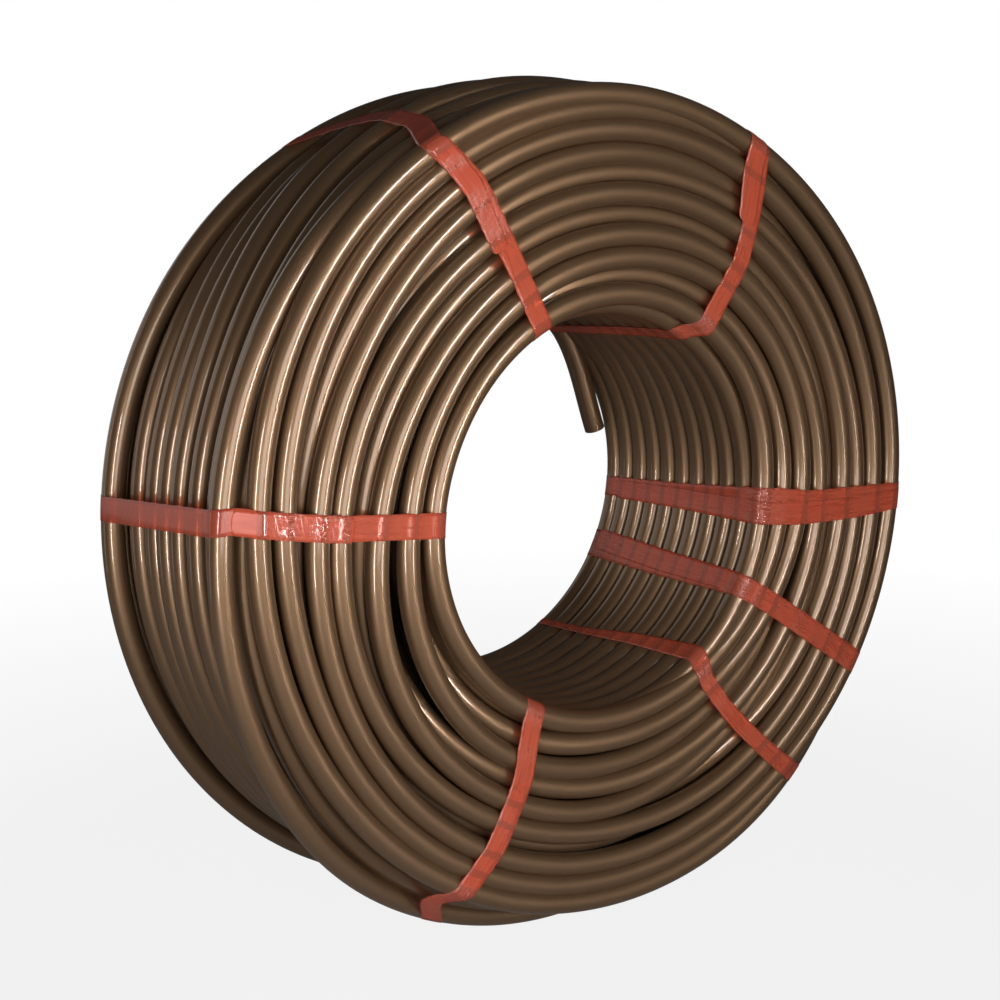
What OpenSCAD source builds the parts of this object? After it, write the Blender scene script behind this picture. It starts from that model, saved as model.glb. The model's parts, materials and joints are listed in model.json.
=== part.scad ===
// A coil of plastic heating pipe: one long pipe wound in layers round an open core,
// each layer in the hollows of the one below, and bound with bands of adhesive tape.
// Lengths are in millimetres and angles in degrees. Seen from the front, angles run
// anticlockwise from the right-hand side.

/* [Pipe] */
// Outside diameter of the pipe
pipe_d = 20; // [14:1:26]
// Wall thickness of the pipe
pipe_wall = 2; // [1.5:0.1:3]

/* [Winding] */
// Inside diameter of the coil, across the crests of the innermost layer
coil_bore = 348; // [320:4:420]
// Layers of turns, counted outwards
layers = 11; // [7:2:13]
// Turns side by side in the innermost layer
turns = 11; // [9:1:13]
// Gap between turns that lie side by side
turn_gap = 1; // [0.4:0.1:2]
// How far the closed body rises above the pipe's centres in the grooves
groove_fill = 2; // [1:0.1:3]

/* [Outermost turns] */
// Free places in the outermost layer, counted from the back
free_places = [3, 8];
// Groove that the closed turn on top lies in, counted from the back
closed_groove = 9; // [9:1:10]
// Angle at which the last turn has climbed on top
last_turn_start = 54; // [40:1:56]
// Angle at which the last turn runs out into the free end
last_turn_end = 16; // [0:1:18]
// Bend radius of the climb from the outermost layer to the last turn
climb_r = 200; // [160:5:240]
// Length of that climb, as the angle of its bend
climb_turn = 42; // [40:1:46]

/* [Free ends] */
// Straight length of the outer end
outer_end_l = 60; // [40:5:70]
// Angle at which the inner end leaves the innermost layer
inner_end_start = 52; // [46:1:56]
// Angle of the inner end's cut face
inner_end_stop = 14; // [10:1:20]
// How far the inner end's centre stands off the innermost layer's, towards the axis
inner_end_lift = 25; // [22:1:30]

/* [Tape] */
// Width of the tape
tape_w = 22; // [12:1:30]
// Thickness of the tape, with its overlapping plies
tape_t = 0.4; // [0.2:0.1:1]
// Clearance between the tape and the pipe's crests
tape_seat = 0.05; // [0.02:0.01:0.1]
// Where each band goes round the coil
tape_angles = [174.6, 117, 61, 356, 331, 306.5, 243];
// How far each band swings from a true radius
tape_swings = [-3, 8, 6, 2, -4, 10, 0];

/* [Hidden] */
$fn = 96;
pipe_r = pipe_d / 2;
turn_pitch = pipe_d + turn_gap;
layer_pitch = sqrt(pow(pipe_d, 2) - pow(turn_pitch / 2, 2));
last_layer = layers - 1;
top_r = layer_r(layers);
top_of_coil = top_r + pipe_r;
half_w = (turns - 1) / 2 * turn_pitch + pipe_r;
last_groove = 1;
last_turn_z = groove_z(last_groove);
closed_turn_z = groove_z(closed_groove);
last_turn_sweep = 360 + last_turn_end - last_turn_start;
bore_r = pipe_r - pipe_wall;
overrun = 1;
arc_step = 15;

// Every second layer has one turn less and starts half a pitch further in.
function layer_r(k) = coil_bore / 2 + pipe_r + k * layer_pitch;
function layer_turns(k) = turns - k % 2;
function end_z(k) = (layer_turns(k) - 1) / 2 * turn_pitch;
function place_z(j) = (j - (turns + 1) / 2) * turn_pitch;
function groove_z(j) = place_z(j) + turn_pitch / 2;
function is_free(j) = len(search(j, free_places)) > 0;
function reversed(list) = [for (i = [len(list) - 1:-1:0]) list[i]];

// The closed body between the turns, as points through the outer turns' centres.
function face_points() = [for (k = [0:last_layer]) [layer_r(k), end_z(k) + groove_fill]];
function mirrored(points) = [for (p = reversed(points)) [p[0], -p[1]]];
function crest_points(j) = [[layer_r(last_layer) + groove_fill, place_z(j)]];
function gap_points(j) = [
    for (s = [-1, 1]) [layer_r(last_layer - 1) + groove_fill, place_z(j) + s * turn_pitch / 2]
];
function rim_points() = [for (j = [1:turns]) each is_free(j) ? gap_points(j) : crest_points(j)];
function bore_points() = [for (s = [-1, 1]) [layer_r(0) - groove_fill, s * end_z(0)]];

module body_section() {
    polygon(concat(mirrored(face_points()), bore_points(), face_points(), reversed(rim_points())));
}

module turn_section(r, z) { translate([r, z]) circle(pipe_r); }

// A top turn and the wedge that joins it to the two turns it lies on.
module top_turn_section(z) {
    turn_section(top_r, z);
    polygon([
        [layer_r(last_layer), z - turn_pitch / 2],
        [top_r, z],
        [layer_r(last_layer), z + turn_pitch / 2]
    ]);
}

module coil_section() {
    body_section();
    for (k = [0:last_layer], s = [-1, 1]) turn_section(layer_r(k), s * end_z(k));
    for (j = [2:turns - 1]) turn_section(layer_r(0), place_z(j));
    for (j = [2:turns - 1]) if (!is_free(j)) turn_section(layer_r(last_layer), place_z(j));
    for (j = free_places, s = [-1, 0]) turn_section(layer_r(last_layer - 1), groove_z(j + s));
    top_turn_section(closed_turn_z);
}

// The last turn: climbs out of the outermost layer, goes round and ends straight.
module last_turn() {
    rotate(last_turn_start) {
        rotate_extrude(angle = last_turn_sweep) top_turn_section(last_turn_z);
        translate([top_r - climb_r, 0, last_turn_z]) rotate(-climb_turn)
            rotate_extrude(angle = climb_turn) translate([climb_r, 0]) circle(pipe_r);
    }
    outer_end() cylinder(r = pipe_r, h = outer_end_l);
}

// The outer end runs straight on from the end of the last turn.
module outer_end() {
    rotate(last_turn_start) rotate(last_turn_sweep) translate([top_r, 0, last_turn_z])
        rotate([-90, 0, 0]) children();
}

// The inner end is a straight chord that stands off the back turn of the innermost layer.
inner_r = layer_r(0) - inner_end_lift;
inner_cut = [inner_r * cos(inner_end_stop), inner_r * sin(inner_end_stop)];
inner_root = [layer_r(0) * cos(inner_end_start), layer_r(0) * sin(inner_end_start)];
inner_run = inner_root - inner_cut;
inner_end_l = norm(inner_run);
inner_heading = atan2(inner_run[1], inner_run[0]);

module inner_end() {
    translate([inner_cut[0], inner_cut[1], -end_z(0)]) rotate([0, 90, inner_heading]) children();
}

module pipe() {
    color("#7d6549") difference() {
        union() {
            rotate_extrude() coil_section();
            last_turn();
            inner_end() cylinder(r = pipe_r, h = inner_end_l);
        }
        inner_end() translate([0, 0, -overrun]) cylinder(r = bore_r, h = inner_end_l + overrun);
        outer_end() cylinder(r = bore_r, h = outer_end_l + overrun);
    }
}

// A band follows the crests of the six turns that stand out furthest.
function band_centres() = [
    [layer_r(0), end_z(0)],
    [layer_r(0), -end_z(0)],
    [layer_r(last_layer), -end_z(last_layer)],
    [top_r, min(last_turn_z, closed_turn_z)],
    [top_r, max(last_turn_z, closed_turn_z)],
    [layer_r(last_layer), end_z(last_layer)]
];
function edge_angle(c, i) = let (a = c[i], b = c[(i + 1) % len(c)]) atan2(b[1] - a[1], b[0] - a[0]);
function turned(a) = a < 0 ? a + 360 : a;
function corner(c, i, r) =
    let (from = edge_angle(c, (i + len(c) - 1) % len(c)) - 90, turn = turned(edge_angle(c, i) - 90 - from))
    let (n = ceil(turn / arc_step), step = turn / n)
    [for (s = [0.5:1:n]) c[i] + r / cos(step / 2) * [cos(from + s * step), sin(from + s * step)]];
function band_outline(r) = let (c = band_centres()) [for (i = [0:len(c) - 1]) each corner(c, i, r)];

module tape(i) {
    swing_r = (layer_r(0) + top_r) / 2;
    color("#d9482b") intersection() {
        rotate_extrude() difference() {
            polygon(band_outline(pipe_r + tape_seat + tape_t));
            polygon(band_outline(pipe_r + tape_seat));
        }
        rotate(tape_angles[i]) translate([swing_r, 0, 0]) rotate(tape_swings[i])
            cube([swing_r, tape_w, 4 * half_w], center = true);
    }
}

// The coil stands on its rim with its front face towards -Y.
module standing() { translate([0, 0, top_of_coil]) rotate([90, 0, 0]) children(); }

standing() pipe();
for (i = [0:len(tape_angles) - 1])
    standing() tape(i);
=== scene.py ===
# %% [markdown]
# # A coil of plastic heating pipe
# About two hundred metres of bronze-brown pipe are wound in layers round an open core and
# bound with seven bands of red tape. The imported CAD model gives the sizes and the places.
# This lesson winds the real turns round them, wraps the tape over the crests, and finishes
# both with materials made of nodes.

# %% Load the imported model
import json
import math

import bmesh
import bpy
import numpy as np
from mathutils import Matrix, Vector, geometry


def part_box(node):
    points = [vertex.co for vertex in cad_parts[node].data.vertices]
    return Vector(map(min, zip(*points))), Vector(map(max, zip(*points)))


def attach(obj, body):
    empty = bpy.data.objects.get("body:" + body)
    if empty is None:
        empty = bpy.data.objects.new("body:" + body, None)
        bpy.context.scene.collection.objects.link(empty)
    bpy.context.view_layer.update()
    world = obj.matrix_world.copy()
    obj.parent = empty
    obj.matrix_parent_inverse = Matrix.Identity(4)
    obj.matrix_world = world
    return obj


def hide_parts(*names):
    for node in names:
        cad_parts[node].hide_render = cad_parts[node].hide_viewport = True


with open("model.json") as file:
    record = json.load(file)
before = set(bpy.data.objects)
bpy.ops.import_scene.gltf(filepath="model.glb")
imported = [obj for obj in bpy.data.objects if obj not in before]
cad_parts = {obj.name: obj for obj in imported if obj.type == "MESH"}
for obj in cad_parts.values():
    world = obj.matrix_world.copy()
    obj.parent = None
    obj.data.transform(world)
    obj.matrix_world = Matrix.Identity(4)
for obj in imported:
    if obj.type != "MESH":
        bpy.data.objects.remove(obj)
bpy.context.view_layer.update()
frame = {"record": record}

# %% [markdown]
# ## Sizes
# Every size comes from the frame or from the pipe. The pipe's bore is the radius of the
# mount at its inner end, and the rest of the winding follows from how round pipes nest:
# each layer lies in the hollows of the one below, so its rise is the height of a triangle
# whose sides are one pipe diameter long.

# %% Sizes of the pipe and of the winding
MM = 0.001
TURNS = 11
LAYERS = 11
PIPE_WALL = 2 * MM

mounts = {mount["name"]: mount for mount in frame["record"]["mounts"]}
pipe_bore_r = mounts["inner_end_bore"]["dims"]["r_mm"] * MM
pipe_r = pipe_bore_r + PIPE_WALL
pipe_d = 2 * pipe_r

low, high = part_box("pipe")
axis_z = (low.z + high.z) / 2
crown_r = (high.z - low.z) / 2
face = -low.y
top_r = crown_r - pipe_r
turn_pitch = (high.y - low.y - pipe_d) / (TURNS - 1)
layer_pitch = math.sqrt(pipe_d ** 2 - (turn_pitch / 2) ** 2)
end_depth = (TURNS - 1) / 2 * turn_pitch


def layer_r(layer):
    """Radius of a layer's turns, from the coil's axis to the pipe's centre."""
    return top_r - (LAYERS - layer) * layer_pitch


bore_r = layer_r(0) - pipe_r
print(f"pipe {pipe_d / MM:.1f} mm, layers {layer_pitch / MM:.2f} mm apart")
print(f"bore {2 * bore_r / MM:.0f} mm, crown radius {crown_r / MM:.1f} mm")


# %% [markdown]
# A place on the coil is easiest to say as a radius, an angle and a depth: the angle runs
# anticlockwise from the right-hand side as seen from the front, and the depth runs along
# the coil's axis, towards the viewer.

# %% Radius, angle and depth
def place(r, angle, depth):
    """The point at a radius, an angle in radians and a depth. Arrays work as numbers do."""
    r, angle, depth = np.broadcast_arrays(r, angle, depth)
    return np.stack([r * np.cos(angle), -depth, axis_z + r * np.sin(angle)], axis=-1)


def smooth(x):
    """Rises from 0 to 1 as x does, with no corner at either end."""
    x = np.clip(x, 0.0, 1.0)
    return x * x * (3.0 - 2.0 * x)


# %% [markdown]
# ## Camera
# The camera stands to the left of the coil's axis and a little above its middle, with a
# short telephoto lens.

# %% Camera
CAMERA_AZIMUTH = math.radians(37.2)
CAMERA_ELEVATION = math.radians(10.4)
CAMERA_DISTANCE = 1.7
CAMERA_LENS = 67.2
CAMERA_SHIFT = (-0.0353, -0.0015)

toward_camera = Vector((
    -math.sin(CAMERA_AZIMUTH) * math.cos(CAMERA_ELEVATION),
    -math.cos(CAMERA_AZIMUTH) * math.cos(CAMERA_ELEVATION),
    math.sin(CAMERA_ELEVATION),
))
coil_middle = Vector((0, 0, axis_z))
camera = bpy.data.objects.new("camera", bpy.data.cameras.new("camera"))
camera.location = coil_middle + CAMERA_DISTANCE * toward_camera
camera.rotation_euler = (-toward_camera).to_track_quat("-Z", "Y").to_euler()
camera.data.lens = CAMERA_LENS
camera.data.shift_x, camera.data.shift_y = CAMERA_SHIFT
bpy.context.scene.collection.objects.link(camera)
bpy.context.scene.camera = camera
bpy.context.scene.view_settings.view_transform = "Standard"
print("camera at", [round(v, 3) for v in camera.location])


# %% [markdown]
# ## Nodes as expressions
# A material's maths reads best as a formula. This class wraps a node's output, so that
# `1 - mask` or `height * 2` adds the Math node and links it. Any other node comes from
# `node`, which takes the node's type, its settings and the values or links of its inputs.

# %% A class for shader maths
class Wire:
    """An output socket of a material's node, usable as a number in a formula."""

    def __init__(self, tree, socket):
        self.tree = tree
        self.socket = socket

    def node(self, kind, settings=None, output=0, **inputs):
        """Adds a node to the same tree and returns one of its outputs."""
        return add_node(self.tree, kind, settings, output, **inputs)

    def math(self, operation, other=None):
        """A Math node on this value, and on another one where the operation takes two."""
        values = {"i0": self} if other is None else {"i0": self, "i1": other}
        return self.node("ShaderNodeMath", {"operation": operation}, **values)

    def __add__(self, other):
        return self.math("ADD", other)

    __radd__ = __add__

    def __mul__(self, other):
        return self.math("MULTIPLY", other)

    __rmul__ = __mul__

    def __sub__(self, other):
        return self.math("SUBTRACT", other)

    def __rsub__(self, other):
        return (self * -1) + other


def add_node(tree, kind, settings=None, output=0, **inputs):
    """Adds a node, sets it up, links or sets its inputs, and returns one output.

    An input's name is i0, i1 and so on for its number, or its own name with _ for a space.
    """
    new = tree.nodes.new(kind)
    for name, value in (settings or {}).items():
        setattr(new, name, value)
    for name, value in inputs.items():
        if name[0] == "i" and name[1:].isdigit():
            socket = new.inputs[int(name[1:])]
        else:
            socket = new.inputs[name.replace("_", " ")]
        if isinstance(value, Wire):
            tree.links.new(value.socket, socket)
        else:
            socket.default_value = value
    return Wire(tree, new.outputs[output]) if len(new.outputs) else None


def new_material(name):
    """An empty material and its node tree."""
    material = bpy.data.materials.new(name)
    material.use_nodes = True
    material.node_tree.nodes.clear()
    return material, material.node_tree


def finish_material(tree, surface):
    """Links a shader to the material's output."""
    add_node(tree, "ShaderNodeOutputMaterial", Surface=surface)


def mix_colours(share, first, second):
    """The first colour where the share is 0 and the second where it is 1."""
    return share.node("ShaderNodeMix", {"data_type": "RGBA"}, 2, i0=share, i6=first, i7=second)


# %% [markdown]
# ## The pipe's material
# The pipe is polyethylene with a metallic bronze pigment. It is satin underneath and has a
# smooth skin on top, which is a coat in the shader: the coat gives the narrow bright lines,
# and the satin gives the glow round them. Fine noise keeps the lines from being perfect.
# The turns behind the visible ones get little light in a tight winding. The loose rows that stand
# for them here would catch more, so their shade is painted in: a much darker bronze with no coat.

# %% Bronze plastic
def make_pipe_material(name, dark, light, coat):
    """Bronze plastic whose colour drifts from dark to light, under a coat."""
    material, tree = new_material(name)
    spot = add_node(tree, "ShaderNodeTexCoord", output="Object")
    grain = spot.node("ShaderNodeTexNoise", Vector=spot, Scale=900.0, Detail=2.0)
    cloud = spot.node("ShaderNodeTexNoise", Vector=spot, Scale=9.0, Detail=3.0)
    bump = grain.node("ShaderNodeBump", Strength=0.02, Distance=0.0004, Height=grain)
    surface = spot.node(
        "ShaderNodeBsdfPrincipled",
        Base_Color=mix_colours(cloud, (*dark, 1), (*light, 1)),
        Metallic=0.72, Roughness=0.38 + 0.06 * grain,
        Specular_IOR_Level=0.2, Coat_Weight=coat, Coat_Roughness=0.08, Normal=bump,
    )
    finish_material(tree, surface)
    return material


bronze = make_pipe_material(
    "bronze_pipe", dark=(0.158, 0.091, 0.047), light=(0.195, 0.114, 0.061), coat=0.8)
# A second bronze with painted shade: near black, for turns that lie in the winding's shadow.
painted_shade_bronze = make_pipe_material(
    "bronze_painted_shade", dark=(0.012, 0.007, 0.004), light=(0.016, 0.010, 0.005), coat=0.0)
print("materials", bronze.name, "and", painted_shade_bronze.name)


# %% [markdown]
# ## Winding the pipe
# The layers run from face to face in turn, and at a face the pipe climbs onto the next layer.
# So each face shows strands that come up from inside the coil, lie on the face for a turn or
# two, and dive again under a neighbour. A strand's course is a short list of the places where
# it changes, each an angle in degrees, a layer and a depth in millimetres. Between them it
# runs smoothly, because the pipe is stiff. All courses share one set of slices through the
# coil's axis, so that each slice cuts every strand squarely and the tape can be laid over it.

# %% The course of a strand
SLICES = 240
STEP = 2 * math.pi / SLICES
BEND_SLICES = 29
TOP_LEFT = 108
TOP_LEFT_REACH = 55


def soften(line, count, mode="edge"):
    """Rounds the corners of a line of numbers, each over an odd count of them."""
    weights = np.hanning(count + 2)[1:-1]
    return np.convolve(np.pad(line, count // 2, mode=mode), weights / weights.sum(), mode="valid")


def course(places):
    """Radius, angle and depth along a strand, through its places and rounded at each one."""
    at, layer, depth = np.array(places, float).T
    way = np.sign(at[-1] - at[0])
    first, last = np.round(np.radians(at[[0, -1]]) / STEP)
    angles = np.arange(first, last, way) * STEP
    layers, depths = (
        soften(np.interp(way * angles, way * np.radians(at), values), BEND_SLICES)
        for values in (layer, depth)
    )
    return layer_r(layers), angles, depths * MM


def ring(layer, depth, drift=0.0, rise=0.0, shift=0.0):
    """A closed turn that drifts along the axis, and rises and shifts round the top left.

    The rise is in layers, and the depth, the drift and the shift are in millimetres.
    """
    angles = np.arange(SLICES) * STEP
    near_top = smooth(1 - np.abs(np.degrees(angles) - TOP_LEFT) / TOP_LEFT_REACH)
    depths = depth + drift * np.sin(angles + layer) + shift * near_top
    return layer_r(layer + rise * near_top), angles, depths * MM


# %% [markdown]
# ### The front face
# Six strands make the front face. Each one starts under its outer neighbour, comes to the
# face, works its way inwards for one or two turns and dives again. Between them lie the short
# stretches of strands that stay deeper, and rings for the row of turns behind.

# %% Strands of the front face
FACE_STRANDS = [
    [(140, 0.0, 72), (105, 0.95, 91), (75, 1.65, 95), (45, 1.8, 98), (15, 1.75, 101),
     (-15, 1.25, 104), (-45, 0.6, 105), (-75, 0.0, 105), (-105, -0.15, 105), (-135, -0.15, 105),
     (-180, 0.0, 105), (-210, 0.0, 105), (-240, 0.2, 105), (-270, 0.45, 105), (-290, 0.6, 105),
     (-330, 0.5, 105), (-360, 0.0, 104), (-400, 0.0, 99)],
    [(15, 4.7, 70), (-15, 4.35, 84), (-30, 3.9, 88), (-45, 3.0, 95), (-90, 2.4, 101),
     (-120, 2.35, 104), (-150, 1.85, 105), (-180, 1.35, 105), (-210, 1.3, 105), (-240, 1.6, 105),
     (-270, 2.2, 105), (-300, 2.8, 105), (-330, 3.05, 105), (-360, 2.9, 105), (-390, 2.1, 105),
     (-420, 1.4, 105), (-450, 1.0, 105), (-480, 1.25, 98), (-495, 1.2, 92), (-530, 0.7, 66)],
    [(235, 4.7, 66), (210, 4.1, 85), (180, 3.55, 90), (150, 3.45, 92), (120, 3.7, 93),
     (90, 4.35, 94), (60, 4.9, 94), (30, 5.2, 94), (-30, 5.15, 94), (-60, 4.7, 99),
     (-90, 4.8, 105), (-120, 4.35, 105), (-150, 3.85, 105), (-180, 3.05, 105), (-210, 2.7, 105),
     (-240, 2.85, 105), (-270, 3.35, 105), (-300, 3.9, 105), (-360, 4.25, 105), (-420, 3.8, 103),
     (-450, 3.55, 101), (-480, 3.25, 97), (-495, 3.2, 91), (-530, 2.6, 66)],
    [(165, 4.7, 68), (135, 5.4, 88), (120, 5.7, 92), (90, 6.4, 95), (60, 6.9, 98),
     (30, 7.2, 100), (0, 7.3, 103), (-30, 7.2, 105), (-60, 6.8, 105), (-90, 5.9, 105),
     (-120, 5.5, 105), (-180, 5.15, 105), (-210, 5.0, 105), (-240, 5.05, 105), (-270, 5.4, 105),
     (-330, 6.1, 105), (-360, 6.1, 105), (-390, 5.85, 105), (-420, 5.65, 95), (-470, 5.3, 66)],
    [(210, 6.0, 66), (180, 6.6, 85), (150, 7.3, 95), (120, 8.15, 104), (90, 8.55, 105),
     (0, 8.55, 105), (-30, 8.5, 105), (-60, 8.15, 105), (-90, 7.6, 105), (-150, 6.55, 105),
     (-180, 6.3, 105), (-210, 6.35, 105), (-240, 6.95, 105), (-270, 7.4, 104), (-300, 7.6, 94),
     (-315, 7.85, 88), (-345, 9.0, 66)],
    [(-5, 10.3, 70), (-30, 10.0, 90), (-45, 10.2, 98), (-60, 10.3, 102), (-90, 9.6, 105),
     (-120, 9.15, 105), (-150, 8.95, 105), (-180, 9.25, 105), (-210, 10.05, 105),
     (-225, 10.3, 105), (-240, 10.35, 105), (-270, 10.2, 105), (-300, 9.9, 105),
     (-330, 10.05, 105), (-360, 10.05, 105), (-390, 9.85, 105), (-450, 8.65, 105),
     (-510, 7.75, 105), (-530, 7.7, 105), (-555, 8.3, 105), (-585, 9.15, 105), (-630, 9.55, 104),
     (-660, 9.55, 96), (-675, 9.75, 91), (-705, 10.2, 66)],
]
DEEP_STRANDS = [
    [(300, 7.2, 72), (270, 6.7, 90), (255, 6.45, 91), (240, 6.1, 88), (205, 5.6, 66)],
    [(262, 0.4, 66), (240, 0.75, 80), (225, 0.95, 86), (205, 0.85, 86), (180, 0.5, 70)],
    [(255, 3.4, 66), (232, 3.3, 82), (205, 3.0, 82), (170, 2.6, 66)],
    [(275, 10.2, 50), (240, 9.85, 72), (210, 9.5, 84), (180, 9.55, 86), (150, 9.5, 86),
     (110, 9.6, 76)],
]
BEHIND_DEPTH = 70

face_paths = [course(places) for places in FACE_STRANDS]
deep_paths = [course(places) for places in DEEP_STRANDS]
behind_paths = [ring(layer, BEHIND_DEPTH) for layer in range(1, LAYERS - 1)]
print(len(face_paths), "strands on the front,", len(deep_paths), "deeper ones")

# %% [markdown]
# ### The bore
# The innermost layer is a plain helix that works its way to the back, where it stops. It goes
# on from the first strand of the front face, and drops a little faster on the right.

# %% Turns in the bore
BORE_START = 104
BORE_TURNS = 10
UNEVEN = 0.05

travelled = np.arange(BORE_TURNS * SLICES + 1) * STEP
dropped = travelled / (2 * math.pi) + UNEVEN * np.sin(travelled)
bore_depth = np.maximum(BORE_START * MM - turn_pitch * dropped, -end_depth)
bore_path = (layer_r(0) + 0 * travelled, -travelled, bore_depth)
print(f"the bore's turns go from {bore_depth[0] / MM:.0f} to {bore_depth[-1] / MM:.0f} mm")

# %% [markdown]
# ### The rim and the back
# The outermost layer isn't full, so its turns have slipped apart and show the turns below.
# Each of its turns is a ring with a depth, a small drift, and a rise and a shift at the top
# left, where the turns are pushed together towards the back. The rings below it are plain.
# Two turns lie on top of it. The one near the front climbs on top at the bottom of the coil
# and sinks back into the layer at its top. The one at the back comes out of the layer, goes
# round once and is the last: it runs out straight into the outer end.

# %% Turns on the rim and at the back
RIM_TURNS = [
    (-73, 1.5, -0.6, -18), (-44, 1.5, 0.1, -26), (-23, 1.0, 0.15, -25), (-1, 1.5, 0.7, -23),
    (30, 2.0, 0.8, -10), (62, 1.5, 0.5, -7),
]
BELOW_RIM = [-89, -58, 14, 46, 74]
CROWN_TURN = [
    (450, 10.1, 81), (440, 10.0, 82), (345, 10.0, 82), (300, 10.0, 62), (285, 10.6, 50),
    (270, 11, 48), (240, 11, 60), (225, 11, 75), (210, 11, 92), (180, 11, 98), (165, 11, 97),
    (150, 10.95, 92), (135, 10.65, 86), (120, 10.4, 82), (105, 10.2, 81), (90, 10.1, 81),
]
OUTER_END_ANGLE = 16
OUTER_END_LENGTH = 60 * MM
LAST_TURN = [
    (55, 10, -105), (395, 10, -105), (425, 10.5, -94.5), (455, 10.35, -94.5), (482, 10.4, -94.5),
    (505, 10.75, -94.5), (540, 10.9, -94.5), (575, 11, -94.5), (720 + OUTER_END_ANGLE, 11, -94.5),
]

rim_paths = [ring(LAYERS - 1, *turn) for turn in RIM_TURNS]
rim_paths += [ring(LAYERS - 2, depth) for depth in BELOW_RIM]
crown_path = course(CROWN_TURN)
last_path = course(LAST_TURN)
back_depths = [-end_depth + layer % 2 * turn_pitch / 2 for layer in range(LAYERS - 1)]
back_paths = [ring(layer, depth / MM) for layer, depth in enumerate(back_depths)]
print(len(rim_paths), "turns at the rim,", len(back_paths), "at the back")


# %% [markdown]
# ## Sweeping the pipe
# Each turn could be a curve with a bevel, but a small Geometry Nodes tree says the same thing
# once for all: Curve to Mesh carries a circle along the path. The tree has named inputs for the
# pipe's radius, the number of its sides and its material. Turns that hide behind others have
# fewer sides.

# %% A tree that sweeps a pipe along a path
def make_sweep_tree():
    """The tree, and the identifiers of its three inputs."""
    tree = bpy.data.node_groups.new("pipe_along_path", "GeometryNodeTree")
    sockets = tree.interface
    sockets.new_socket("Geometry", in_out="INPUT", socket_type="NodeSocketGeometry")
    radius = sockets.new_socket("Pipe radius", in_out="INPUT", socket_type="NodeSocketFloat")
    sides = sockets.new_socket("Sides", in_out="INPUT", socket_type="NodeSocketInt")
    material = sockets.new_socket("Material", in_out="INPUT", socket_type="NodeSocketMaterial")
    sockets.new_socket("Geometry", in_out="OUTPUT", socket_type="NodeSocketGeometry")
    nodes = {}
    for name, kind in (
        ("inputs", "NodeGroupInput"), ("circle", "GeometryNodeCurvePrimitiveCircle"),
        ("sweep", "GeometryNodeCurveToMesh"), ("shade", "GeometryNodeSetShadeSmooth"),
        ("realize", "GeometryNodeRealizeInstances"), ("paint", "GeometryNodeSetMaterial"),
        ("outputs", "NodeGroupOutput"),
    ):
        nodes[name] = tree.nodes.new(kind)
    for start, end in (
        (nodes["inputs"].outputs["Geometry"], nodes["sweep"].inputs["Curve"]),
        (nodes["inputs"].outputs["Pipe radius"], nodes["circle"].inputs["Radius"]),
        (nodes["inputs"].outputs["Sides"], nodes["circle"].inputs["Resolution"]),
        (nodes["circle"].outputs["Curve"], nodes["sweep"].inputs["Profile Curve"]),
        (nodes["sweep"].outputs["Mesh"], nodes["shade"].inputs["Geometry"]),
        (nodes["shade"].outputs["Geometry"], nodes["realize"].inputs["Geometry"]),
        (nodes["realize"].outputs["Geometry"], nodes["paint"].inputs["Geometry"]),
        (nodes["inputs"].outputs["Material"], nodes["paint"].inputs["Material"]),
        (nodes["paint"].outputs["Geometry"], nodes["outputs"].inputs["Geometry"]),
    ):
        tree.links.new(start, end)
    nodes["sweep"].inputs["Fill Caps"].default_value = True
    keys = {"radius": radius.identifier, "sides": sides.identifier, "material": material.identifier}
    return tree, keys


sweep_tree, sweep_keys = make_sweep_tree()
PIPE_SIDES = 32
HALF_SEEN_SIDES = 20
HIDDEN_SIDES = 14


def sweep(name, paths, closed=False, sides=PIPE_SIDES, material=bronze):
    """Adds a piece of pipes along paths, each given as radius, angle and depth."""
    curve = bpy.data.curves.new(name, "CURVE")
    curve.dimensions = "3D"
    for path in paths:
        points = place(*path)
        spline = curve.splines.new("POLY")
        spline.points.add(len(points) - 1)
        spline.points.foreach_set("co", np.c_[points, np.ones(len(points))].ravel())
        spline.use_cyclic_u = closed
    holder = bpy.data.objects.new(name, curve)
    bpy.context.scene.collection.objects.link(holder)
    modifier = holder.modifiers.new("sweep", "NODES")
    modifier.node_group = sweep_tree
    modifier[sweep_keys["radius"]] = pipe_r
    modifier[sweep_keys["sides"]] = sides
    modifier[sweep_keys["material"]] = material
    evaluated = holder.evaluated_get(bpy.context.evaluated_depsgraph_get())
    mesh = bpy.data.meshes.new_from_object(evaluated)
    mesh.name = name
    bpy.data.objects.remove(holder)
    add_pipe_piece(name, mesh)


def add_pipe_piece(name, mesh):
    """Adds a piece that stands for the CAD model's pipe."""
    piece = bpy.data.objects.new(name, mesh)
    bpy.context.scene.collection.objects.link(piece)
    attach(piece, "root")
    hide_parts("pipe")
    print(name, len(mesh.polygons), "faces")


# %% Sweep the turns
sweep("front_strands", face_paths)
sweep("front_deep_strands", deep_paths)
# The row of turns behind gets the near-black bronze, which is painted shade.
sweep("front_inner_turns", behind_paths, closed=True, sides=HIDDEN_SIDES, material=painted_shade_bronze)
sweep("bore_turns", [bore_path])
sweep("rim_turns", rim_paths, closed=True)
sweep("crown_turn", [crown_path])
sweep("back_turns", back_paths, closed=True, sides=HALF_SEEN_SIDES)


# %% [markdown]
# ## The free ends
# Both ends are hollow, with the pipe's real wall. Each one is built ring by ring along its
# path: out along the outside, across the cut face, and back along the inside.

# %% A pipe with a hollow end
def unit(vectors):
    """The same directions with a length of one."""
    return vectors / np.linalg.norm(vectors, axis=-1, keepdims=True)


def full_circle(count):
    """Evenly spaced angles round a full circle."""
    return np.arange(count) * 2 * math.pi / count


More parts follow.
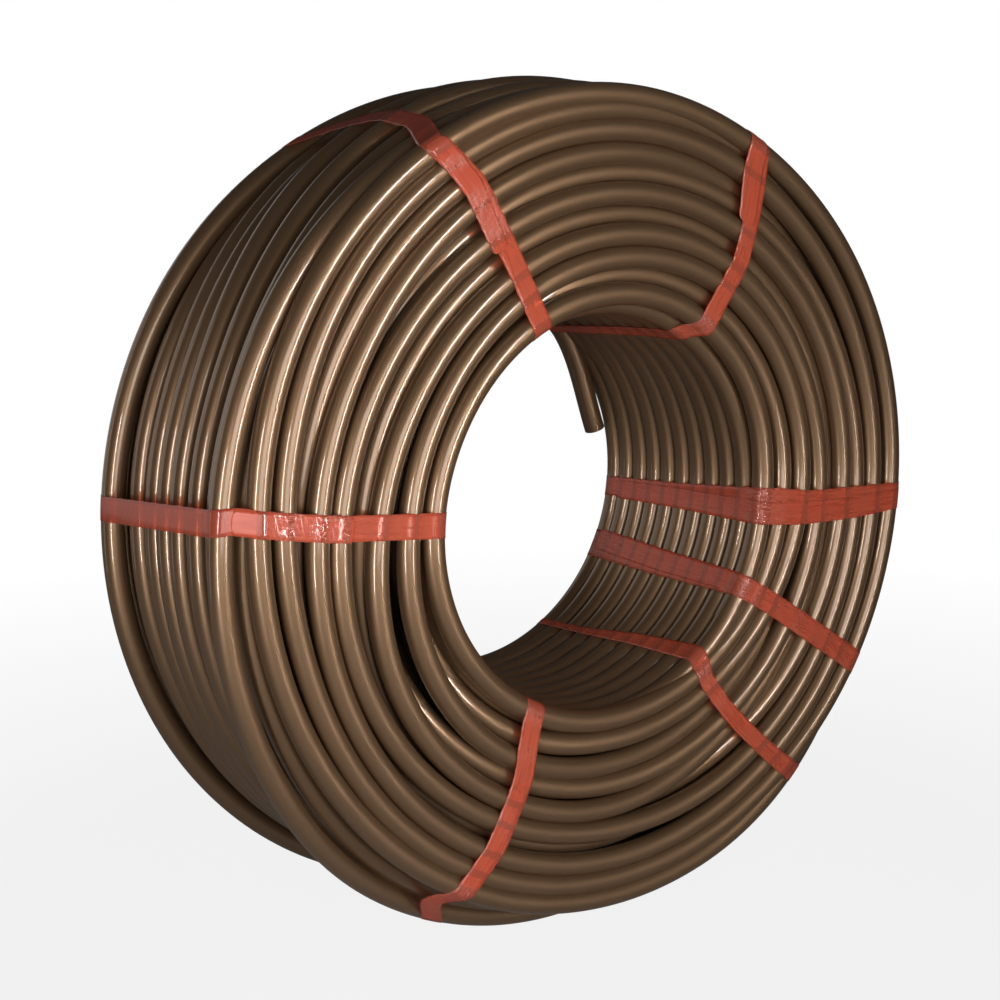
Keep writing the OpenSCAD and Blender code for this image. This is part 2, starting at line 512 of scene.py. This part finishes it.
def hollow_pipe(name, points, hollow_length, sides=PIPE_SIDES):
    """Adds a pipe along points whose last stretch is hollow and ends in a clean cut."""
    along = np.r_[0, np.cumsum(np.linalg.norm(np.diff(points, axis=0), axis=1))]
    heading = unit(np.gradient(points, axis=0))
    across = unit(np.cross(heading, (0.0, 1.0, 0.0)))
    rising = np.cross(across, heading)
    angles = full_circle(sides)[:, None, None]
    circle = np.cos(angles) * across + np.sin(angles) * rising
    inside = np.flatnonzero(along > along[-1] - hollow_length)[::-1]
    rings = [points[i] + pipe_r * circle[:, i] for i in range(len(points))]
    rings += [points[i] + pipe_bore_r * circle[:, i] for i in inside]
    corners = np.concatenate(rings)
    faces = []
    for row in range(len(rings) - 1):
        for side in range(sides):
            next_side = (side + 1) % sides
            faces.append([row * sides + side, row * sides + next_side,
                          (row + 1) * sides + next_side, (row + 1) * sides + side])
    faces.append(list(range(sides))[::-1])
    faces.append([(len(rings) - 1) * sides + side for side in range(sides)])
    mesh = bpy.data.meshes.new(name)
    mesh.from_pydata(corners.tolist(), [], faces)
    mesh.shade_smooth()
    mesh.materials.append(bronze)
    sharp = mesh.attributes.new("sharp_edge", "BOOLEAN", "EDGE")
    rows_of_the_cut = {len(points) - 1, len(points)}
    for edge in mesh.edges:
        first, second = (corner // sides for corner in edge.vertices)
        sharp.data[edge.index].value = first == second and first in rows_of_the_cut
    add_pipe_piece(name, mesh)


# %% [markdown]
# The outer end runs straight on from the last turn. The inner end leaves the innermost layer
# along a Hermite curve: two places and the headings there give a smooth bend between them.

# %% The outer end
def heading_at(angle):
    """The way a turn runs at an angle, anticlockwise as seen from the front."""
    return np.array([-math.sin(angle), 0, math.cos(angle)])


outer_angle = math.radians(OUTER_END_ANGLE)
run_out_at = place(top_r, outer_angle, -(end_depth - turn_pitch / 2))
run_out = np.outer(np.linspace(0, OUTER_END_LENGTH, 9), heading_at(outer_angle))
last_points = place(*last_path)[:-2]
hollow_pipe("last_turn", np.concatenate([last_points, run_out_at + run_out]), OUTER_END_LENGTH)

# %% The inner end
INNER_ROOT_ANGLE = math.radians(62)
INNER_HOLLOW_LENGTH = 90 * MM
MOUNT_DEPTH = 12 * MM

mouth = mounts["inner_end_bore"]
mouth_axis = np.array(mouth["axis"], float)
mouth_at = np.array(mouth["pos_m"], float) + MOUNT_DEPTH * mouth_axis
root_at = place(layer_r(0), INNER_ROOT_ANGLE, -end_depth)
root_way = -heading_at(INNER_ROOT_ANGLE)
reach = np.linalg.norm(mouth_at - root_at)
t = np.linspace(0, 1, 40)[:, None]
inner_points = (
    (2 * t ** 3 - 3 * t ** 2 + 1) * root_at + (t ** 3 - 2 * t ** 2 + t) * reach * root_way
    + (3 * t ** 2 - 2 * t ** 3) * mouth_at + (t ** 3 - t ** 2) * reach * mouth_axis
)
hollow_pipe("inner_end", inner_points, INNER_HOLLOW_LENGTH)


# %% [markdown]
# ## The hidden turns
# Everything between the visible turns is one closed body, turned round the axis, dark with painted
# shade. Nobody can look into the winding, so this only has to stop the light and the view.

# %% A closed body for the hidden turns
def lathe(name, outline, slices=96):
    """Adds a body made by turning an outline of radius and depth round the coil's axis."""
    angles = full_circle(slices)
    corners = np.concatenate([place(r, angles, depth) for r, depth in outline])
    faces = []
    for row in range(len(outline)):
        a, b = row * slices, (row + 1) % len(outline) * slices
        for i in range(slices):
            j = (i + 1) % slices
            faces.append([a + i, b + i, b + j, a + j])
    mesh = bpy.data.meshes.new(name)
    mesh.from_pydata(corners.tolist(), [], faces)
    # The body gets the near-black bronze, which is painted shade.
    mesh.materials.append(painted_shade_bronze)
    add_pipe_piece(name, mesh)


inner_wall = layer_r(0)
outer_wall = layer_r(LAYERS - 2) - pipe_r / 2
back_wall = -end_depth + turn_pitch / 2
front_wall = BEHIND_DEPTH * MM - pipe_r
lathe("hidden_turns", [
    (inner_wall, back_wall), (outer_wall, back_wall),
    (outer_wall, front_wall), (inner_wall, front_wall),
])


# %% [markdown]
# ## The tape
# Seven bands of translucent red tape hold the coil together. Each is pulled tight round the
# bundle, so in any slice through the coil it follows the convex hull of the pipes there: it
# touches the crests and bridges the hollows. A cloth simulation could find that too, but the
# hull is exact and quick. It is measured once, in every slice and along rays from the middle
# of the bundle, and a band is then laid over it. A place along a band is a number from 0 to 4:
# from 0 to 1 it goes through the bore to the front, to 2 across the front face outwards, to 3
# over the rim to the back, and to 4 across the back inwards.

# %% The hull of the pipes in every slice
BAND_SIDES = 4
STATIONS = 704
PIPE_CORNERS = 64
half_rise = (crown_r - bore_r) / 2
bundle_r = (crown_r + bore_r) / 2
around = full_circle(PIPE_CORNERS)
pipe_outline = pipe_r * np.stack([np.cos(around), np.sin(around)], axis=1)


def inner_end_course():
    """The inner end as radius, angle and depth."""
    right, rise = inner_points[:, 0], inner_points[:, 2] - axis_z
    return np.hypot(right, rise), np.arctan2(rise, right), -inner_points[:, 1]


def rays_to_stations():
    """Rays from the bundle's middle to the stations, evenly spaced along its box's sides."""
    where = np.arange(STATIONS) * BAND_SIDES / STATIONS
    side, t = np.floor(where), 2 * (where % 1) - 1
    across = np.select([side == 0, side == 1, side == 2], [-1 + 0 * t, t, 1 + 0 * t], -t)
    along = np.select([side == 0, side == 1, side == 2], [t, 1 + 0 * t, -t], -1 + 0 * t)
    return np.stack([across * half_rise, along * face], axis=1)


def reach_of_rays(rays, centres):
    """How many times its own length each ray goes until it meets the hull of the pipes."""
    crests = (centres[:, None] + pipe_outline).reshape(-1, 2)
    corners = crests[geometry.convex_hull_2d([tuple(point) for point in crests])]
    edges = np.roll(corners, -1, axis=0) - corners
    turned = rays[:, None, 0] * edges[:, 1] - rays[:, None, 1] * edges[:, 0]
    with np.errstate(divide="ignore", invalid="ignore"):
        reach = (corners[:, 0] * edges[:, 1] - corners[:, 1] * edges[:, 0]) / turned
    return np.where(reach > 0, reach, np.inf).min(axis=1)


def measure_hull():
    """The hull's radius, depth and gap to the nearest pipe, by slice and by station."""
    courses = face_paths + rim_paths + back_paths
    courses += [bore_path, crown_path, last_path, inner_end_course()]
    turns = np.concatenate([np.stack(turn, axis=1) for turn in courses])
    slice_of = np.round(turns[:, 1] / STEP).astype(int) % SLICES
    rays = rays_to_stations()
    hull = np.zeros((SLICES, STATIONS, 3))
    for number in range(SLICES):
        centres = turns[slice_of == number][:, (0, 2)] - (bundle_r, 0)
        points = rays * reach_of_rays(rays, centres)[:, None]
        gap = np.linalg.norm(points[:, None] - centres, axis=2).min(axis=1) - pipe_r
        hull[number] = np.c_[points[:, 0] + bundle_r, points[:, 1], gap]
    return hull


hull = measure_hull()
print(f"hull measured at {hull.shape[0]} slices and {hull.shape[1]} stations")

# %% [markdown]
# ### Plies
# A band is one length of tape that goes once round and overlaps itself, so it is laid in
# plies, with the second on the first. A ply is a list of places along the band, each with the
# band's angle on the coil in degrees and its width in millimetres. Where a band was pulled
# askew it is crumpled: each such stretch is a place, its reach along the band and its strength.

# %% The bands and their plies
BANDS = {
    "tape_1": [
        [(0, 176.5, 21), (1, 175.4, 21), (1.5, 175.2, 21), (1.95, 173.9, 21), (2.1, 174.5, 21),
         (2.9, 177, 21), (4, 176.5, 21)],
        [(1.44, 175.4, 22), (1.7, 174.7, 21), (1.97, 174.0, 20)],
    ],
    "tape_2": [
        [(0, 114, 20), (0.95, 115, 20), (1.3, 115.8, 19), (1.7, 117.0, 21), (1.95, 120.5, 21),
         (2.2, 116.5, 20), (2.5, 115.5, 19), (2.75, 117.5, 18), (2.95, 121, 16), (3.1, 121, 18),
         (4, 114, 20)],
        [(1.42, 117.6, 16), (1.7, 117.6, 20), (1.96, 120.3, 20)],
    ],
    "tape_3": [
        [(0, 55, 8), (0.3, 57, 12), (0.7, 60, 17), (0.95, 60, 20), (1.05, 57.5, 20),
         (1.4, 56.5, 19), (1.65, 59.5, 20), (1.9, 63, 21), (2.1, 64, 21), (3, 62, 21),
         (3.5, 58, 18), (4, 55, 8)],
        [(1.55, 59.2, 21), (1.75, 62.2, 24), (1.95, 63.4, 21), (2.15, 64.2, 20)],
    ],
    "tape_4": [
        [(0, 352.8, 19), (0.5, 355.4, 20), (1, 358.9, 21), (1.3, 357.0, 21), (1.95, 357.2, 22),
         (3, 357, 22), (3.5, 355, 21), (4, 352.8, 19)],
        [(0.1, 352.6, 18), (0.5, 353.9, 20), (0.96, 354.6, 22), (1.25, 354.4, 22),
         (1.6, 355.3, 21), (1.93, 356.6, 20)],
    ],
    "tape_5": [
        [(0, 333.5, 28), (0.5, 332.5, 26), (0.95, 332, 22), (1.1, 331.6, 21), (1.5, 330.4, 22),
         (1.95, 329.4, 23), (3, 330, 22), (4, 333.5, 28)],
        [(0.05, 335, 22), (0.5, 333.2, 22), (0.9, 332.4, 20)],
    ],
    "tape_6": [
        [(0, 300.5, 7), (0.3, 302, 8), (0.6, 305, 14), (0.97, 306.6, 19), (1.1, 303.6, 17),
         (1.3, 304.5, 16), (1.95, 309.8, 19), (2.5, 310, 20), (3.5, 306, 15), (4, 300.5, 7)],
    ],
    "tape_7": [
        [(0, 241, 18), (0.95, 241, 20), (1.05, 241.2, 21), (1.3, 245.2, 21), (1.6, 244.6, 21),
         (1.96, 239.8, 20), (2.04, 240.5, 20), (3, 264, 21), (3.1, 262, 21), (4, 241, 18)],
        [(1.36, 245.0, 19), (1.6, 244.2, 18), (1.93, 240.4, 18)],
    ],
}
CRUMPLED = {
    "tape_1": [(1.49, 0.03, 0.6), (1.56, 0.05, 1), (1.72, 0.06, 1)],
    "tape_2": [(1.53, 0.05, 1), (1.62, 0.06, 1), (1.82, 0.03, 0.9), (2.5, 0.3, 0.8)],
    "tape_3": [(1.08, 0.05, 0.7), (1.9, 0.05, 0.4), (0.9, 0.1, 0.5)],
    "tape_4": [(1.05, 0.09, 0.9), (0.9, 0.04, 0.6), (0.08, 0.06, 0.6)],
    "tape_5": [(1.01, 0.04, 1), (1.1, 0.02, 0.7), (0.12, 0.1, 0.8), (1.4, 0.03, 0.5)],
    "tape_6": [(1.1, 0.06, 0.8), (1.25, 0.03, 0.5)],
    "tape_7": [(1.05, 0.03, 0.7), (1.2, 0.03, 0.4), (1.5, 0.06, 0.4), (1.85, 0.06, 0.7),
               (2.1, 0.1, 0.4)],
}
print(len(BANDS), "bands with", sum(map(len, BANDS.values())), "plies")

# %% [markdown]
# ### Laying a ply
# Every ply is a thin closed sheet. It is lifted just clear of the crests, sags a little where
# it bridges a hollow, has slightly wavy edges and is folded where it is crumpled. The waves
# below are in radians per metre of tape. The sheet gets a UV map in metres along and across the
# tape, and two attributes: where it touches a pipe, and how crumpled it is. Both steer the
# film's material.

# %% Sizes of the tape
TAPE_T = 0.1 * MM
TAPE_LIFT = 0.3 * MM
TAPE_SAG = 0.35 * MM
SAG_GAP = 3 * MM
CONTACT_GAP = 0.9 * MM
COLUMNS = 8
BEND_STATIONS = 25
SHORTEST_STEP = 0.5 * MM
EDGE_WAVE_HEIGHT = 0.14 * MM
EDGE_WAVES = (310, 730)
END_ROUNDING = 4 * MM
END_TAPER = 0.9
FOLD_HEIGHT = 0.25 * MM
FOLD_WAVE = 900
FOLD_SLANT = 5
WANDER_WAVE = 260
WANDER = 3
CRUMPLE_FADE = 1.6

# %% The hull under a ply, and the way out of it
def hull_at(angles, stations):
    """Radius, depth and gap of the hull, between two slices."""
    slot = (angles / STEP) % SLICES
    first = np.floor(slot).astype(int) % SLICES
    share = (slot - np.floor(slot))[..., None]
    return (1 - share) * hull[first, stations] + share * hull[(first + 1) % SLICES, stations]


def away_from_bundle(r, depth, closed):
    """The way out of the bundle as radius and depth, square to the surface below a ply."""
    if closed:
        way_r, way_depth = (np.roll(v, -1, axis=0) - np.roll(v, 1, axis=0) for v in (r, depth))
    else:
        way_r, way_depth = np.gradient(r, axis=0), np.gradient(depth, axis=0)
    size = np.hypot(way_r, way_depth) + 1e-9
    out_r, out_depth = -way_depth / size, way_r / size
    outward = np.sign((out_r * (r - bundle_r) + out_depth * depth).mean())
    return outward * out_r, outward * out_depth


# %% The edges and folds of a ply
def half_widths(width, along, slant, number, closed):
    """Half the width at each station, wavy at the edges and rounded at a free end."""
    wave = sum(np.sin(along * EDGE_WAVES[i] + (i + 1) * number) for i in (0, 1))
    half = (width / 2 + EDGE_WAVE_HEIGHT * wave) * slant
    if closed:
        return half
    to_end = np.minimum(along, along[-1] - along) / END_ROUNDING
    return half * np.sqrt(1 - END_TAPER * np.clip(1 - to_end, 0, 1) ** 2)


def crumple_at(where, crumples):
    """How crumpled a band is at each place, from 0 to 1."""
    crumpled = np.zeros_like(where)
    for middle, reach, strength in crumples:
        off = np.abs((where - middle + BAND_SIDES / 2) % BAND_SIDES - BAND_SIDES / 2)
        crumpled = np.maximum(crumpled, strength * smooth(CRUMPLE_FADE - off / reach))
    return crumpled


def fold_wave(along, share):
    """The slanting, wandering folds of crumpled tape, from -1 to 1."""
    return np.sin(FOLD_WAVE * along + FOLD_SLANT * share + WANDER * np.sin(WANDER_WAVE * along))


# %% The faces of a ply
def ply_faces(along, half, closed):
    """Faces of a thin closed sheet, and their UVs."""
    share = np.linspace(-1, 1, COLUMNS)
    count, below = len(half), len(half) * COLUMNS
    faces, uvs = [], []
    for i in range(count if closed else count - 1):
        a, b = i * COLUMNS, (i + 1) % count * COLUMNS
        u, v = (along[i], along[i + 1]), share * half[i]
        for j in range(COLUMNS - 1):
            square = [(a + j, u[0], v[j]), (a + j + 1, u[0], v[j + 1]),
                      (b + j + 1, u[1], v[j + 1]), (b + j, u[1], v[j])]
            faces.append([corner for corner, _, _ in square])
            faces.append([corner + below for corner, _, _ in square[::-1]])
            uvs += [(s, t) for _, s, t in square] + [(s, t) for _, s, t in square[::-1]]
        for j, turned in ((0, False), (COLUMNS - 1, True)):
            strip = [a + j, b + j, b + j + below, a + j + below]
            faces.append(strip[::-1] if turned else strip)
            uvs += [(u[0], v[j])] * 4
    if not closed:
        last = (count - 1) * COLUMNS
        for j in range(COLUMNS - 1):
            faces.append([j + 1, j, j + below, j + 1 + below])
            faces.append([last + j, last + j + 1, last + j + 1 + below, last + j + below])
            uvs += [(0.0, share[j] * half[0])] * 8
    return faces, uvs


# %% Laying a ply
def lay_ply(places, number, crumples):
    """Corners, faces, UVs and attributes of one ply."""
    at, angle, width = np.array(places, float).T
    closed = at[-1] - at[0] >= BAND_SIDES
    first, last = (round(end * STATIONS / BAND_SIDES) for end in (at[0], at[-1]))
    stations = np.arange(first, last)
    where = stations * BAND_SIDES / STATIONS
    stations = stations % STATIONS
    centre = np.radians(np.interp(where, at, angle))
    centre = soften(centre, BEND_STATIONS, "wrap" if closed else "edge")
    middle = hull_at(centre, stations)
    line = place(middle[:, 0], centre, middle[:, 1])
    steps = np.linalg.norm(np.roll(line, -1, axis=0) - line, axis=1)
    along = np.r_[0, np.cumsum(steps)]
    turn = np.gradient(centre) * middle[:, 0]
    slant = np.sqrt(1 + np.minimum(1, (turn / np.maximum(steps, SHORTEST_STEP)) ** 2))
    half = half_widths(np.interp(where, at, width) * MM, along[:-1], slant, number, closed)
    share = np.linspace(-1, 1, COLUMNS)
    angles = centre[:, None] + share * half[:, None] / middle[:, :1]
    r, depth, gap = np.moveaxis(hull_at(angles, stations[:, None]), -1, 0)
    out_r, out_depth = away_from_bundle(r, depth, closed)
    crumpled = crumple_at(where, crumples)[:, None]
    lift = TAPE_LIFT + number * 2 * TAPE_T - TAPE_SAG * smooth(gap / SAG_GAP)
    lift = lift + FOLD_HEIGHT * crumpled * fold_wave(along[:-1, None], share)
    sheets = []
    for height in (lift + TAPE_T, lift):
        sheets.append(place(r + out_r * height, angles, depth + out_depth * height))
    corners = np.concatenate([sheet.reshape(-1, 3) for sheet in sheets])
    contact = np.tile(smooth(1 - gap / CONTACT_GAP).ravel(), 2)
    crumple = np.tile(np.repeat(crumpled, COLUMNS), 2)
    return corners, *ply_faces(along, half, closed), contact, crumple


# %% A band and its plies
def make_band(name):
    """One band of tape, with all its plies, in place of its CAD node."""
    corners, faces, uvs, contact, crumple = [], [], [], [], []
    for number, places in enumerate(BANDS[name]):
        ply = lay_ply(places, number, CRUMPLED[name])
        laid = sum(map(len, corners))
        faces += [[corner + laid for corner in face_corners] for face_corners in ply[1]]
        corners.append(ply[0])
        uvs += ply[2]
        contact.append(ply[3])
        crumple.append(ply[4])
    mesh = bpy.data.meshes.new("band_" + name)
    mesh.from_pydata(np.concatenate(corners).tolist(), [], faces)
    mesh.uv_layers.new(name="tape_uv").data.foreach_set("uv", np.array(uvs, np.float32).ravel())
    for label, values in (("contact", contact), ("crumple", crumple)):
        attribute = mesh.attributes.new(label, "FLOAT", "POINT")
        attribute.data.foreach_set("value", np.concatenate(values).astype(np.float32))
    turn_faces_outward(mesh)
    mesh.shade_smooth()
    mesh.materials.append(film)
    band = bpy.data.objects.new("band_" + name, mesh)
    bpy.context.scene.collection.objects.link(band)
    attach(band, "root")
    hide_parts(name)
    print(band.name, len(BANDS[name]), "plies,", len(mesh.polygons), "faces")


def turn_faces_outward(mesh):
    """Reverses the faces of a closed mesh that encloses a negative volume."""
    whole = bmesh.new()
    whole.from_mesh(mesh)
    if whole.calc_volume(signed=True) < 0:
        bmesh.ops.reverse_faces(whole, faces=whole.faces)
        whole.to_mesh(mesh)
    whole.free()


# %% [markdown]
# ### The tape's material
# The film lets part of the light through and tints it, so a Transparent shader with an
# orange-red colour is mixed with the film's own glossy surface. Two plies let less through
# and look redder, with no extra work. Where the film sticks to a crest it darkens a little,
# and where it is crumpled it has sharp creases and is painted paler: partly whitened film, partly a
# painted sheen.

# %% Red film
FILM = (0.52, 0.100, 0.048, 1)
STRETCHED_FILM = (0.58, 0.150, 0.085, 1)
STUCK_FILM = (0.19, 0.068, 0.047, 1)
# Pale crease colour: partly whitened film, partly a painted sheen.
WHITENED_AND_SHEEN_FILM = (0.66, 0.30, 0.24, 1)
LIGHT_THROUGH_FILM = (1.0, 0.40, 0.24, 1)


def make_film_material():
    """Translucent tape, streaked along its length, dark where it sticks, and pale in creases from
    whitened film and a painted sheen.
    """
    material, tree = new_material("red_film")
    on_tape = add_node(tree, "ShaderNodeTexCoord", output="UV")
    contact = on_tape.node("ShaderNodeAttribute", {"attribute_name": "contact"}, "Fac")
    crumple = on_tape.node("ShaderNodeAttribute", {"attribute_name": "crumple"}, "Fac")
    skewed = on_tape.node(
        "ShaderNodeMapping", Vector=on_tape, Rotation=(0, 0, 0.7), Scale=(90, 330, 1))
    folds = skewed.node("ShaderNodeTexNoise", Vector=skewed, Scale=1.0, Detail=2.0, Distortion=0.6)
    creases = (folds - 0.5).math("ABSOLUTE") * 5
    fine = on_tape.node("ShaderNodeTexNoise", Vector=on_tape, Scale=420.0, Detail=3.0)
    streaks = on_tape.node("ShaderNodeMapping", Vector=on_tape, Scale=(25, 300, 1))
    stretch = streaks.node("ShaderNodeTexNoise", Vector=streaks, Scale=1.0, Detail=1.0)
    height = creases * crumple * 1.4 + stretch * 0.1
    bump = height.node("ShaderNodeBump", Strength=0.55, Distance=0.0007, Height=height)
    red = mix_colours(stretch, FILM, STRETCHED_FILM)
    stuck = mix_colours(contact * 0.4, red, STUCK_FILM)
    # Creases are painted paler, partly as whitened film and partly as a painted sheen.
    whitened_and_sheen = mix_colours(crumple * creases * 0.5, stuck, WHITENED_AND_SHEEN_FILM)
    clear = whitened_and_sheen.node("ShaderNodeBsdfTransparent", Color=LIGHT_THROUGH_FILM)
    solid = whitened_and_sheen.node("ShaderNodeBsdfPrincipled", Base_Color=whitened_and_sheen, Roughness=0.16 + 0.06 * fine,
                      Coat_Weight=0.6, Coat_Roughness=0.08, Normal=bump)
    cover = 0.44 + stretch * 0.10
    finish_material(tree, solid.node("ShaderNodeMixShader", i0=cover, i1=clear, i2=solid))
    return material


film = make_film_material()

# %% Lay the bands
for band_name in BANDS:
    make_band(band_name)


# %% [markdown]
# ## Floor and backdrop
# The coil stands on a plain white floor that fades into a white background. To the camera the
# floor glows, a little less near the coil, and what is left of it there is paper that shows the
# coil's shadow. To every other ray it is grey paper, so it throws little light back up. The sky
# is white to the camera alone and nearly black to the rest, so the lights do all the work.

# %% Floor
FLOOR_REACH = 8
NEAR, FAR = 0.5, 1.6
GLOW_NEAR, GLOW_FAR = 0.86, 1.0


def make_stage_material():
    """White to the camera, with the coil's shadow, and grey paper to all other rays."""
    material, tree = new_material("white_stage")
    seen = add_node(tree, "ShaderNodeLightPath", output="Is Camera Ray")
    spot = seen.node("ShaderNodeTexCoord", output="Object")
    far = spot.node("ShaderNodeVectorMath", {"operation": "LENGTH"}, "Value", i0=spot)
    whiteness = far.node(
        "ShaderNodeMapRange",
        Value=far, From_Min=NEAR, From_Max=FAR, To_Min=GLOW_NEAR, To_Max=GLOW_FAR)
    paper = seen.node("ShaderNodeBsdfDiffuse", Color=(0.4, 0.4, 0.4, 1))
    glow = seen.node("ShaderNodeEmission", Color=(1, 1, 1, 1), Strength=1.0)
    surface = seen.node("ShaderNodeMixShader", i0=seen * whiteness, i1=paper, i2=glow)
    finish_material(tree, surface)
    return material


low_edge, high_edge = -FLOOR_REACH, FLOOR_REACH
floor_corners = [
    (low_edge, low_edge, 0), (high_edge, low_edge, 0),
    (high_edge, high_edge, 0), (low_edge, high_edge, 0),
]
floor_mesh = bpy.data.meshes.new("floor")
floor_mesh.from_pydata(floor_corners, [], [(0, 1, 2, 3)])
floor_mesh.materials.append(make_stage_material())
floor = bpy.data.objects.new("floor", floor_mesh)
bpy.context.scene.collection.objects.link(floor)

# %% Sky
SKY = 0.01
SKY_IN_REFLECTIONS = 0.03

world = bpy.data.worlds.new("studio")
world.use_nodes = True
bpy.context.scene.world = world
world.node_tree.nodes.clear()
camera_ray = add_node(world.node_tree, "ShaderNodeLightPath", output="Is Camera Ray")
glossy_ray = add_node(world.node_tree, "ShaderNodeLightPath", output="Is Glossy Ray")
brightness = (SKY + glossy_ray * SKY_IN_REFLECTIONS).math("MAXIMUM", camera_ray)
sky = camera_ray.node("ShaderNodeBackground", Color=(1, 1, 1, 1), Strength=brightness)
add_node(world.node_tree, "ShaderNodeOutputWorld", Surface=sky)

# %% [markdown]
# ## Lights
# A round glossy pipe shows each light as a line along its length. Tall narrow strips on the
# left and in front give thin bright lines, a wide soft light in front gives the broad glow on
# the faces of the turns, and a panel behind reaches the rim and the back.

# %% Lights
def make_light(name, location, size, power, target=(0, 0, 0), spread=180):
    """A rectangular light placed from the coil's middle and aimed at a target near it."""
    data = bpy.data.lights.new(name, "AREA")
    data.shape = "RECTANGLE"
    data.size, data.size_y = size
    data.energy = power
    data.spread = math.radians(spread)
    light = bpy.data.objects.new(name, data)
    light.location = coil_middle + Vector(location)
    light.rotation_euler = (Vector(target) - Vector(location)).to_track_quat("-Z", "Y").to_euler()
    light.visible_camera = False
    bpy.context.scene.collection.objects.link(light)
    print(name, power, "W")


make_light("left_strip", location=(-1.27, -0.83, -0.12), size=(0.07, 0.9), power=12)
make_light("rear_left_strip", location=(-1.25, 0.6, 0.1), size=(0.10, 1.6), power=1.2)
make_light(
    "front_strip", location=(0.30, -1.50, 0.1), size=(0.06, 1.6), power=4.2,
    target=(-0.3, 0, 0), spread=70)
make_light("soft_front", location=(-0.7, -2.2, 0.0), size=(1.2, 1.6), power=31)
make_light("rear_panel", location=(-0.9, 1.9, 0.5), size=(2.6, 1.6), power=7)
